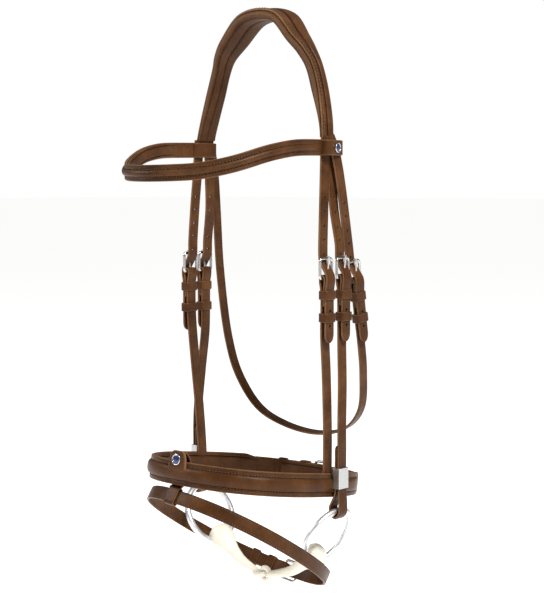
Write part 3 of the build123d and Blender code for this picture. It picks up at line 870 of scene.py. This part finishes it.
def brow_frames(first, last, spacing=2.0):
    """Frames of the browband from one angle to another; out points away from the head."""
    points = []
    steps = 260
    for step in range(steps + 1):
        angle = math.radians(first + (last - first) * step / steps)
        x = BROW_HALF_WIDTH * math.cos(angle)
        y = BROW_CENTRE_Y + BROW_REACH * math.sin(angle)
        points.append(Vector((x, y, brow_height(y))))
    for _ in range(60):
        eased = [a * 0.25 + b * 0.5 + c * 0.25 for a, b, c in zip(points, points[1:], points[2:])]
        points = [points[0], *eased, points[-1]]
    frames = path_frames(resample(points, spacing), (0, 0, 1))
    return [(p, a, -o) if o.dot(Vector((p.x, p.y - BROW_CENTRE_Y, 0))) < 0 else (p, a, o)
            for p, a, o in frames]


def raised_face(half, flange, roll_low, roll_high, roll_height):
    """Outer face of a padded band: flat flanges, two sewn channels and a raised roll between them; the
    channels and edge creases carry painted shade.
    """
    def make(strength):
        def outer(a):
            u = (a - (roll_low + roll_high) / 2) / ((roll_high - roll_low) / 2)
            roll = math.sqrt(max(0.0, 1 - abs(u) ** 2.4)) * roll_height * strength if abs(u) < 1 else 0.0
            seams = (roll_low - 0.3, roll_high + 0.3)
            channel = sum(math.exp(-((a - s) / 0.45) ** 2) for s in seams) * strength
            crease = math.exp(-((abs(a) - (half - 1.6)) / 0.35) ** 2)
            # second number: painted shade in the sewn channels and edge creases
            return flange + roll - 0.6 * channel - 0.12 * crease, min(1.0, 0.95 * channel + 0.35 * crease)
        return outer
    return make


def lining_face(base, thick, half):
    """Inner face of a padded lining with a seam near each edge; the seam grooves carry painted shade."""
    def inner(a):
        u = a / half
        groove_shade = sum(math.exp(-((u - s) / 0.045) ** 2) for s in (-0.66, 0.66))
        # second number: painted shade in the seam grooves
        return -base - thick * (1 - 0.3 * abs(u) ** 3) + 0.4 * thick * min(1, groove_shade), min(1.0, 0.8 * groove_shade)
    return inner


def fade_at_ends(share, length=0.09):
    """Fade from 0 to 1 at both ends of a band."""
    near_end = min(share, 1 - share) / length
    near_end = min(1.0, near_end)
    return near_end * near_end * (3 - 2 * near_end)


def browband():
    """Browband leather with its raised roll, lining, loops and stitching."""
    half = BROW_HEIGHT / 2
    frames = brow_frames(161.6, 378.4)
    face = raised_face(half, 1.5, -3.4, 3.0, 2.6)
    def form(share):
        return section(half, face(fade_at_ends(share)), flat(-1.5), 1.1, 34)
    strap_piece = sweep("browband_strap", frames, form, STRAP)
    place(strap_piece, "browband", "bridle_leather", "browband_leather")
    inside = brow_frames(176, 364)
    def soft(share):
        lining = lining_face(1.7, 0.5 + 2.0 * fade_at_ends(share, 0.05), half - 0.6)
        return section(half - 0.6, flat(-1.45), lining, 1.2, 24)
    pad = sweep("browband_lining", inside, soft, LINING)
    place(pad, "browband", "padding_leather", "browband_pad")
    seams = brow_frames(172, 368, 0.55)
    rows = [shifted(seams, across, 1.5) for across in (-3.9, 3.5)]
    stitches("browband_thread", rows, "browband", 2.0, 2.9, 0.36)
    for side_name, side in (("near", 1), ("far", -1)):
        browband_loop(side_name, side)


def browband_loop(side_name, side):
    """Leather loop of the browband round the headpiece and its billets."""
    turn = math.radians(BROW_LOOP_TURN)
    low_x, high_x, low_y, high_y, bend = -3.6, 9.4, -14.2, 13.2, 4.0
    outline = rounded_outline((low_x, low_y), (high_x, high_y), bend)
    points = []
    for x, y in outline:
        moved = (BROW_LOOP_CENTRE[0] + x * math.cos(turn) - y * math.sin(turn),
                 BROW_LOOP_CENTRE[1] + x * math.sin(turn) + y * math.cos(turn))
        points.append(Vector((side * moved[0], moved[1], BROW_Z)))
    path = resample(points + [points[0]], 1.2)[:-1]
    centre = sum(path, Vector()) / len(path)
    frames = []
    for index, point in enumerate(path):
        along = (path[(index + 1) % len(path)] - path[index - 1]).normalized()
        out = Vector((along.y, -along.x, 0))
        out = out if out.dot(point - centre) > 0 else -out
        frames.append((point, Vector((0, 0, 1)), out))
    shape = section(BROW_HEIGHT / 2 - 0.5, flat(1.05), flat(-0.95), 0.8, 18)
    loop = sweep(side_name + "_browband_loop", frames, shape, STRAP, closed=True)
    place(loop, "browband", "bridle_leather")


def lathe(name, centre, axis, profile, material, sides=48):
    """Turned shape: profile is (radius, height along the axis)."""
    axis = Vector(axis).normalized()
    first = axis.orthogonal().normalized()
    second = axis.cross(first)
    points = []
    for radius, height in profile:
        for turn in range(sides):
            angle = math.tau * turn / sides
            points.append(Vector(centre) + axis * height
                          + (first * math.cos(angle) + second * math.sin(angle)) * radius)
    return add_mesh(name, points, skin_faces(0, len(profile), sides), material)


def button(name, centre, axis, radius, body, node):
    """Enamel dome in a rolled metal rim."""
    rim = [(radius * 0.92, 0)]
    for step in range(9):
        angle = math.radians(-60 + 30 * step)
        rim.append((radius * 0.88 + 0.65 * math.cos(angle), 1.1 + 0.75 * math.sin(angle)))
    rim.append((radius * 0.7, 0.8))
    place(lathe(name + "_rim", centre, axis, rim, NICKEL), body, "buckle_nickel")
    dome = [(radius * 0.80 * math.cos(math.radians(9 * k)) + 0.01, 1.0 + 1.25 * math.sin(math.radians(9 * k)))
            for k in range(11)]
    place(lathe(name + "_enamel", centre, axis, [(radius * 0.8, 0.3)] + dome, ENAMEL), body, "enamel", node)


def browband_buttons():
    """One button on the outside of each browband loop."""
    turn = math.radians(BROW_LOOP_TURN)
    for side_name, side in (("near", 1), ("far", -1)):
        reach = 10.4
        centre = (side * (BROW_LOOP_CENTRE[0] + reach * math.cos(turn)),
                  BROW_LOOP_CENTRE[1] + reach * math.sin(turn), BROW_Z)
        axis = (side * math.cos(turn), math.sin(turn), 0)
        button(side_name + "_brow_button", centre, axis, 4.8, "browband", side_name + "_browband_button")


browband()
browband_buttons()


# ---------------------------------------------------------------- loops in an inclined plane
class LoopPlane:
    """Oval strap loop in its own plane; angles run anticlockwise from above, 0 at the near side."""

    def __init__(self, origin, across, normal, loop):
        self.origin = Vector(origin)
        self.x = Vector(across).normalized()
        self.z = Vector(normal).normalized()
        self.y = self.z.cross(self.x)
        self.half_width, self.half_length, self.power = loop

    def flat_point(self, angle, lift=0.0):
        """Point of the oval in the plane's own x and y."""
        turn = math.radians(angle)
        x = math.copysign(abs(math.cos(turn)) ** (2 / self.power), math.cos(turn))
        y = math.copysign(abs(math.sin(turn)) ** (2 / self.power), math.sin(turn))
        return Vector((x * (self.half_width + lift), y * (self.half_length + lift)))

    def to_row(self, flat_spot, height=0.0):
        """Plane point carried to the row frame."""
        return self.origin + self.x * flat_spot.x + self.y * flat_spot.y + self.z * height

    def line(self, start, end, lift=0.0):
        """Fine points of the oval between two angles."""
        steps = max(4, round(abs(end - start) / 0.5))
        angles = [start + (end - start) * k / steps for k in range(steps + 1)]
        return [self.to_row(self.flat_point(angle, lift)) for angle in angles]

    def frames(self, start, end, spacing=1.8, lift=0.0):
        """Frames of the oval; across is the plane's normal and out points away from the middle."""
        return path_frames(resample(self.line(start, end, lift), spacing), self.z)

    def carry(self, angle):
        """Carries (out, across, up) to the row frame; up runs back towards smaller angles."""
        spot = self.flat_point(angle)
        along = (self.flat_point(angle + 0.5) - self.flat_point(angle - 0.5)).normalized()
        out = self.x * along.y - self.y * along.x
        back = -(self.x * along.x + self.y * along.y)
        base = self.to_row(spot) + out * BAR_STAND_OFF
        side = back.cross(out)
        def place_point(out_by, across_by, up_by):
            return base + out * out_by + side * across_by + back * up_by
        return place_point


BAR_STAND_OFF = 0.8
TAB_SHIFT = -4.0
TAB_LOOP_SHIFT = -13.0
TAB_SEAM = 0.855
NOSE = LoopPlane((0, -17, -449), (1, 0, 0), (0, math.sin(NOSE_TILT), math.cos(NOSE_TILT)), NOSE_LOOP)
FLASH_SPAN = FLASH_REAR_Y - FLASH_FRONT_Y
FLASH_ORIGIN = (-FLASH_SHIFT, (FLASH_FRONT_Y + FLASH_REAR_Y) / 2,
                FLASH_FRONT_Z + FLASH_SLOPE_Y * FLASH_SPAN / 2 - FLASH_SLOPE_X * FLASH_SHIFT)
FLASH = LoopPlane(FLASH_ORIGIN, (1, 0, FLASH_SLOPE_X), (-FLASH_SLOPE_X, -FLASH_SLOPE_Y, 1),
                  (FLASH_HALF_WIDTH, FLASH_SPAN / 2 * math.hypot(1, FLASH_SLOPE_Y), 2.2))
LOOP_LAP = 16.0
LOOP_BEND = 0.006
TAIL_LIFT = 5.6


def loop_strap(name, plane, bar_angle, approach, tail_angle, width, thickness, holes):
    """Strap of a loop: folded eye at its bar, once round, out through the buckle and over itself."""
    carry = plane.carry(bar_angle)
    fold = fold_points(carry, LOOP_LAP, LOOP_BEND)
    through = [carry(out, 0, up) for out, up in ((-3.8, 21), (-3.0, 16.5), (0.2, 11.5), (3.2, 7.0), (5.2, 2))]
    around = plane.line(bar_angle + 7, approach)[::12]
    tail = plane.line(bar_angle + 5, tail_angle, TAIL_LIFT)[::10]
    path = spline(fold + around + through + tail, 1.8)
    frames = path_frames(path, plane.z)
    piece = sweep(name, frames, strap_section(width, thickness), STRAP, taper=tip_taper(0.985))
    spots = [frame_near(frames, plane.to_row(plane.flat_point(angle, lift))) for angle, lift in holes]
    spots.append(frame_near(frames, carry(1.8, 0, 9.5)))
    punch(piece, spots)
    return piece


def nose_face():
    """Outer face of the noseband: a raised roll between two sewn seams, fading out at both ends."""
    half = NOSE_HEIGHT / 2
    face = raised_face(half, 1.6, -6.6, 6.6, 3.0)
    def form(share):
        fade = fade_at_ends(share, 0.07)
        least = NOSE_REAR_HEIGHT / NOSE_HEIGHT
        narrow = least + (1 - least) * fade_at_ends(share, 0.03)
        ring = section(half, face(fade), flat(-1.5), 1.2, 44)
        return [(a * narrow, out, edge, groove_shade) for a, out, edge, groove_shade in ring]
    return form


def nose_lining():
    """Soft lining of the noseband: three quilted rolls that thin out at the edges."""
    half = NOSE_HEIGHT / 2 - 0.2
    def form(share):
        fade = fade_at_ends(share, 0.05)
        lining = lining_face(1.7, 1.0 + 3.4 * fade, half)
        narrow = 0.72 + 0.28 * fade_at_ends(share, 0.03)
        ring = section(half, flat(-1.45), lining, 2.0, 34)
        return [(a * narrow, out, edge, groove_shade) for a, out, edge, groove_shade in ring]
    return form


def noseband():
    """Noseband: continuous strap, padded front with its stitching, lining and jaw pad."""
    holes = [(angle, TAIL_LIFT) for angle in (125.5, 132, 138.5)]
    strap_piece = loop_strap("noseband_rear_strap", NOSE, NOSE_BAR_ANGLE, 437, NOSE_BAR_ANGLE + 52,
                             NOSE_REAR_HEIGHT, THIN_STRAP, holes)
    place(strap_piece, "noseband", "bridle_leather")
    start, end = NOSE_FRONT_SPAN
    front = sweep("noseband_front", NOSE.frames(start, end), nose_face(), STRAP)
    place(front, "noseband", "bridle_leather", "noseband_leather")
    lining = sweep("noseband_lining", NOSE.frames(start, end), nose_lining(), LINING)
    place(lining, "noseband", "padding_leather", "noseband_pad")
    seams = NOSE.frames(start + 9, end - 9, 0.55)
    seam_rows = [shifted(seams, across, 1.55) for across in (-7.2, 7.2)]
    stitches("noseband_thread", seam_rows, "noseband", 2.2, 3.1, 0.4)
    rear_rows = [shifted(NOSE.frames(low, high, 0.55), across, 1.2)
                 for low, high in ((123, 134), (406, 432)) for across in (-7.0, 7.0)]
    stitches("noseband_rear_thread", rear_rows, "noseband", 1.9, 2.9, 0.3)
    jaw_half = NOSE_REAR_HEIGHT / 2 - 0.4
    jaw_shape = section(jaw_half, flat(-5.2), lining_face(5.2, 3.8, jaw_half), 1.6, 26)
    jaw = sweep("jaw_pad_cushion", NOSE.frames(74, 116), jaw_shape, LINING)
    place(jaw, "noseband", "padding_leather", "jaw_pad")


def flash_strap():
    """Narrow strap under the noseband in front, below the bit and round the chin groove."""
    holes = [(angle, TAIL_LIFT) for angle in (124.5, 130)]
    piece = loop_strap("flash_leather", FLASH, FLASH_BAR_ANGLE, 436, 135, FLASH_WIDTH, THIN_STRAP, holes)
    place(piece, "flash", "bridle_leather", "flash_strap")
    half = FLASH_WIDTH / 2 - 1.9
    rows = [shifted(FLASH.frames(128, 430, 0.6), across, 1.15) for across in (-half, half)]
    stitches("flash_thread", rows, "flash", 1.8, 2.9, 0.28)


KEEPER_WALL = 1.4
KEEPER_ROOM = 0.5
KEEPER_HEIGHT = 8.6
KEEPER_INNER = (-3.0, 5.8)
LOOP_KEEPER_INNER = (-3.0, 7.2)
FIXED_KEEPER_UP = -15.5
RUNNER_UP = -37.0


def closed_band(name, outline, carry, width, thickness, edge_round=0.7):
    """Closed leather loop; outline is (out, across) at the middle of its thickness."""
    flat_points = [Vector((x, y, 0)) for x, y in outline]
    path = resample(flat_points + [flat_points[0]], 1.0)[:-1]
    centre = sum(path, Vector()) / len(path)
    origin = carry(0, 0, 0)
    out_axis = carry(1, 0, 0) - origin
    across_axis = carry(0, 1, 0) - origin
    up_axis = carry(0, 0, 1) - origin
    frames = []
    for index, point in enumerate(path):
        along = (path[(index + 1) % len(path)] - path[index - 1]).normalized()
        away = Vector((along.y, -along.x, 0))
        away = away if away.dot(point - centre) > 0 else -away
        frames.append((carry(point.x, point.y, 0), up_axis, out_axis * away.x + across_axis * away.y))
    shape = section(width / 2, flat(thickness / 2), flat(-thickness / 2), edge_round, 16)
    return sweep(name, frames, shape, STRAP, closed=True)


def at_height(carry, up):
    """The same carrier moved along the strap."""
    return lambda out, across, extra: carry(out, across, up + extra)


def keeper(name, carry, width, inner, body, node):
    """Leather keeper loop round a strap and the tail on it."""
    middle = KEEPER_WALL / 2
    half = (width + KEEPER_ROOM) / 2
    outline = rounded_outline((inner[0], -half - middle), (inner[1] + middle, half + middle), 2.2)
    piece = closed_band(name + "_loop", outline, carry, KEEPER_HEIGHT, KEEPER_WALL)
    place(piece, body, "bridle_leather", node)


def keepers():
    """Every fixed and running keeper."""
    for side_name, side in (("near", 1), ("far", -1)):
        rows = (("hanger", HANGER_BAR, "noseband"), ("cheek", CHEEK_BAR, side_name + "_cheek"))
        for row, bar, strap_body in rows:
            carry = straight_place(bar, side)
            base = side_name + "_" + row
            keeper(base + "_fixed", at_height(carry, FIXED_KEEPER_UP), STRAP_WIDTH, KEEPER_INNER, strap_body,
                   base + "_fixed_keeper")
            keeper(base + "_runner", at_height(carry, RUNNER_UP), STRAP_WIDTH, KEEPER_INNER, base + "_runner",
                   base + "_runner_keeper")
    carry = straight_place(THROAT_BAR, 1, THROAT_LEAN)
    keeper("throat_fixed", at_height(carry, FIXED_KEEPER_UP), STRAP_WIDTH, KEEPER_INNER, "throatlatch",
           "throat_fixed_keeper")
    keeper("throat_runner", at_height(carry, RUNNER_UP), STRAP_WIDTH, KEEPER_INNER, "throat_runner",
           "throat_runner_keeper")
    for name, plane, angles, width in (("noseband", NOSE, (101, 117), NOSE_REAR_HEIGHT),
                                       ("flash", FLASH, (107, 119), FLASH_WIDTH)):
        for kind, angle, body in (("fixed", angles[0], name), ("runner", angles[1], name + "_runner")):
            keeper(name + "_" + kind, plane.carry(angle), width, LOOP_KEEPER_INNER, body,
                   name + "_" + kind + "_keeper")


def flash_tab():
    """Shaped leather tab on the front of the noseband, with its button and the loop for the flash strap."""
    face = -NOSE_LOOP[1] - 1.5
    outline = [(-11, 1.5), (0, 1.0), (11, 1.5), (11.4, 6), (11.0, 12), (9.6, 18.5), (6.0, 21.5), (-6.0, 21.5),
               (-9.6, 18.5), (-11.0, 12), (-11.4, 6)]
    closed = [Vector((x, z, 0)) for x, z in outline]
    smooth_line = resample(closed + [closed[0]], 1.0)[:-1]
    for _ in range(3):
        smooth_line = [(smooth_line[k - 1] + p * 2 + smooth_line[(k + 1) % len(smooth_line)]) / 4
                       for k, p in enumerate(smooth_line)]
    centre = Vector((0, 10, 0))
    rings = []
    marks = {"edge": [], "groove_shade": []}
    layers = ((0.0, 0.3, 0.0), (0.93, 0.3, 0.0), (1.0, 0.9, 0.6), (1.0, 2.1, 1.0), (0.965, 2.7, 0.8),
              (0.9, 2.8, 0.0), (TAB_SEAM, 2.62, 0.0), (0.81, 2.85, 0.0), (0.4, 3.0, 0.0), (0.0, 3.0, 0.0))
    for share, depth, edge in layers:
        ring = []
        for p in smooth_line:
            spot = centre + (p - centre) * max(0.02, share)
            ring.append(NOSE.to_row(Vector((TAB_SHIFT + spot.x, face - depth)), spot.y))
        rings.append(ring)
        marks["edge"].extend([edge] * len(ring))
        # painted shade in the sunken stitch groove round the tab
        marks["groove_shade"].extend([0.7 if share == TAB_SEAM else 0.0] * len(ring))
    plate = loft("flash_tab_plate", rings, STRAP, marks)
    place(plate, "noseband", "bridle_leather", "flash_tab")
    tab_loops(face)
    tab_thread(face, smooth_line, centre)
    button("flash_tab_button", NOSE.to_row(Vector((TAB_SHIFT, face - 3.0)), 13.0), -NOSE.y, 5.5, "noseband",
           "flash_button")


def tab_loops(face):
    """Wrap of the tab round the noseband and its loop under it for the flash strap."""
    origin = NOSE.to_row(Vector((TAB_SHIFT, face)), 0)
    def round_nose(out, across, up):
        return origin - NOSE.y * out + NOSE.z * across + NOSE.x * up
    path = spline([round_nose(1.4, 19, 0), round_nose(-1.0, 20.2, 0), round_nose(-4.5, 17.5, 0),
                   round_nose(-8.6, 12.5, -0.5), round_nose(-10.2, 0, -2.5), round_nose(-9.4, -9, -4.5),
                   round_nose(-5.6, -13.6, -5.5), round_nose(-2.4, -15.6, -6.5)], 1.2)
    strip = sweep("flash_tab_strip", path_frames(path, NOSE.x), strap_section(15.0, 1.8), STRAP)
    place(strip, "noseband", "bridle_leather")
    low = FLASH.to_row(Vector((FLASH_SHIFT + TAB_LOOP_SHIFT, -FLASH.half_length)), 0)
    def round_flash(out, across, up):
        return low - FLASH.y * out + FLASH.z * across + FLASH.x * up
    half = FLASH_WIDTH / 2 + 1.5
    loop = rounded_outline((-2.9, -half), (2.9, half), 2.0)
    place(closed_band("flash_tab_loop", loop, round_flash, 12.5, 1.6), "noseband", "bridle_leather")


def tab_thread(face, outline, centre):
    """Stitching just inside the edge of the tab."""
    row = []
    inner = [centre + (p - centre) * TAB_SEAM for p in outline]
    for index, spot in enumerate(inner + inner[:1]):
        row.append((NOSE.to_row(Vector((TAB_SHIFT + spot.x, face - 2.85)), spot.y), NOSE.x, -NOSE.y))
    stitches("flash_tab_thread", [dense_row(row)], "noseband", 1.7, 2.6, 0.3)


noseband()
flash_strap()
keepers()
flash_tab()


# ---------------------------------------------------------------- bit
def ring_centre(side):
    """Middle of a bit ring."""
    return Vector((side * (RING_TOP[0] - RING_RADIUS * math.sin(RING_LEAN)), 0,
                   RING_TOP[2] - RING_RADIUS * math.cos(RING_LEAN)))


def torus(name, centre, axis, radius, wire, material, steps=120, sides=24):
    """Ring of round wire."""
    axis = Vector(axis).normalized()
    first = axis.orthogonal().normalized()
    second = axis.cross(first)
    rings = []
    for step in range(steps):
        angle = math.tau * step / steps
        out = first * math.cos(angle) + second * math.sin(angle)
        rings.append([Vector(centre) + out * (radius + wire * math.cos(t)) + axis * (wire * math.sin(t))
                      for t in (math.tau * k / sides for k in range(sides))])
    return loft(name, rings, material, closed=True)


def lathe_along(name, path, radii, material, sides=40):
    """Round bar along a path with a radius at each of its points."""
    rings = []
    for (point, across, out), radius in zip(path_frames(path, (0, 1, 0)), radii):
        rings.append([point + (across * math.cos(t) + out * math.sin(t)) * radius
                      for t in (math.tau * k / sides for k in range(sides))])
    return loft(name, rings, material)


def cannon(side_name, side):
    """Half of the mouthpiece: flared drum at the ring, curved taper and an eye at the middle."""
    lean = RING_LEAN
    bottom = ring_centre(side) - Vector((side * math.sin(lean), 0, math.cos(lean))) * RING_RADIUS
    head = bottom + Vector((-side * 4.5, 0, 4.0))
    link = Vector(LINK_CENTRE)
    neck = link + Vector((side * 8.6, 0, 0.6))
    middle = head.lerp(neck, 0.5) + Vector((0, 1.0, -5.2))
    run = (neck - head).normalized()
    path = spline([head - run * 10.5, head - run * 4, head + run * 6, middle, neck + run * 1.5], 1.0)
    total = sum((b - a).length for a, b in zip(path, path[1:]))
    profile = [(0.0, 8.6), (0.015, 10.6), (0.04, 12.0), (0.08, 12.7), (0.14, 12.8), (0.19, 12.2),
               (0.24, 10.9), (0.29, 9.0), (0.34, 7.5), (0.42, 6.3),
               (0.55, 5.4), (0.72, 4.6), (0.88, 3.9), (1.0, 3.4)]
    radii = []
    walked = 0.0
    for index, point in enumerate(path):
        walked += (point - path[index - 1]).length if index else 0.0
        radii.append(profile_at(profile, walked / total))
    bar = lathe_along(side_name + "_cannon", path, radii, RUBBER)
    cutter = torus("ring_hole_cutter", ring_centre(side), ring_axis(side), RING_RADIUS,
                   RING_WIRE + RING_ROOM, RUBBER, 96, 20)
    cut(bar, cutter)
    bar.data.set_sharp_from_angle(angle=SHARP_ANGLE)
    place(bar, side_name + "_mouthpiece", "mouthpiece", side_name + "_mouthpiece")
    axis = (0, 1, 0) if side > 0 else (0, 0, 1)
    eye_centre = link + Vector((side * 3.0, 0, 0))
    eye = torus(side_name + "_mouthpiece_eye", eye_centre, axis, 6.0, 2.6, RUBBER, 64, 20)
    place(eye, side_name + "_mouthpiece", "mouthpiece")


def profile_at(profile, share):
    """Value at a share of the length, straight between the steps of a table."""
    for (low, value_low), (high, value_high) in zip(profile, profile[1:]):
        if share <= high:
            part = (share - low) / (high - low)
            return value_low + (value_high - value_low) * part
    return profile[-1][1]


def ring_axis(side):
    """Axis of a bit ring."""
    return (math.cos(RING_LEAN), 0, -math.sin(RING_LEAN) * side)


def bit():
    """Both rings and both halves of the mouthpiece."""
    for side_name, side in (("near", 1), ("far", -1)):
        ring = torus(side_name + "_bit_ring_wire", ring_centre(side), ring_axis(side), RING_RADIUS, RING_WIRE,
                     BIT_STEEL)
        place(ring, side_name + "_ring", "bit_steel", side_name + "_bit_ring")
        cannon(side_name, side)


bit()


# ---------------------------------------------------------------- metal parts kept from the frame
def finish_metal():
    """Material of the buckles, clips and studs, whose shapes stay as the frame has them."""
    kinds = (("buckle_frame", NICKEL), ("buckle_tongue", NICKEL), ("box_clip", SATIN), ("hook_stud", SATIN))
    for name, node in frame["nodes"].items():
        for kind, material in kinds:
            if name.endswith(kind):
                node.data.materials.clear()
                node.data.materials.append(material)
                node.data.shade_smooth()
                node.data.set_sharp_from_angle(angle=METAL_SHARP_ANGLE)


finish_metal()
